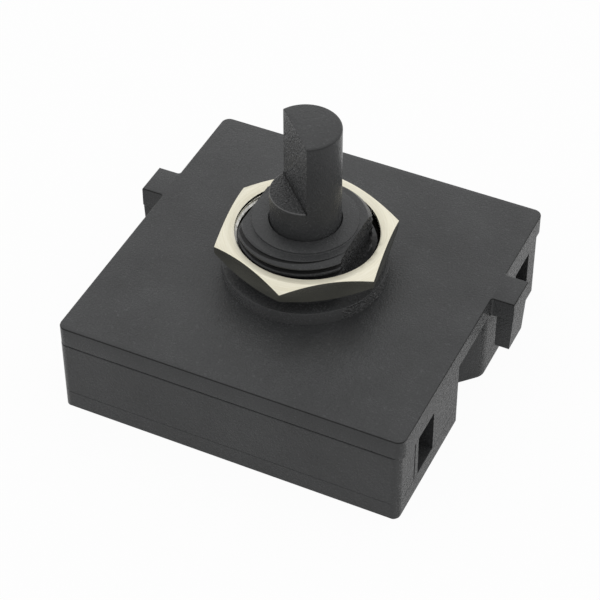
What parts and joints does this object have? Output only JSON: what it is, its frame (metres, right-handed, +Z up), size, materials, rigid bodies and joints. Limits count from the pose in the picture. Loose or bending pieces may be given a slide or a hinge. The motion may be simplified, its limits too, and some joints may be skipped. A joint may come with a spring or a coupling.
{
  "type": "rotary light switch",
  "caption": "Square black rotary selector switch for a lamp, with a threaded panel neck, a hexagon nut, a D-shaped shaft and side terminal windows.",
  "frame": {"origin": "the shaft's axis on the housing's flat bottom, which is also the middle of the part's box", "axes": "+Z up the shaft, +X to the right side that the neck's flat faces, -Y to the front"},
  "size_m": [0.0352, 0.0306, 0.0242],
  "materials": {
    "cover_plastic": "fine matt grain",
    "base_plastic": "fine matt grain",
    "shaft_plastic": "satin, coarser on the flat",
    "rotor_plastic": "moulded",
    "nickel_plate": "nickel plated, brushed top",
    "spring_bronze": "rolled sheet",
    "contact_brass": "stamped sheet",
    "contact_silver": "polished",
    "spring_steel": "rolled strip"
  },
  "bodies": {
    "housing": {"cover": "cover_plastic", "base": "base_plastic", "base_plate": "base_plastic", "index_spring_front": "spring_steel", "index_spring_rear": "spring_steel", "common_contact": "contact_brass", "line_contact_1": "contact_brass", "line_contact_2": "contact_brass", "line_contact_3": "contact_brass", "contact_buttons": "contact_silver", "clamp_spring_1": "spring_steel", "clamp_spring_2": "spring_steel", "clamp_spring_3": "spring_steel", "clamp_spring_4": "spring_steel"},
    "turning_group": {"selector_shaft": "shaft_plastic", "rotor": "rotor_plastic", "wiper": "spring_bronze", "wiper_tips": "contact_silver", "wiper_rivets": "contact_brass"},
    "nut": {"panel_nut": "nickel_plate"}
  },
  "joints": [
    {"name": "shaft_turn", "type": "hinge", "parent": "housing", "child": "turning_group", "pos_m": [0, 0, 0.01], "axis": [0, 0, 1], "range_deg": [-270, 0], "deforming": ["index_spring_front", "index_spring_rear"]},
    {"name": "nut_travel", "type": "slide", "parent": "housing", "child": "nut", "axis": [0, 0, 1], "range_m": [-0.00115, 0.0031]}
  ]
}
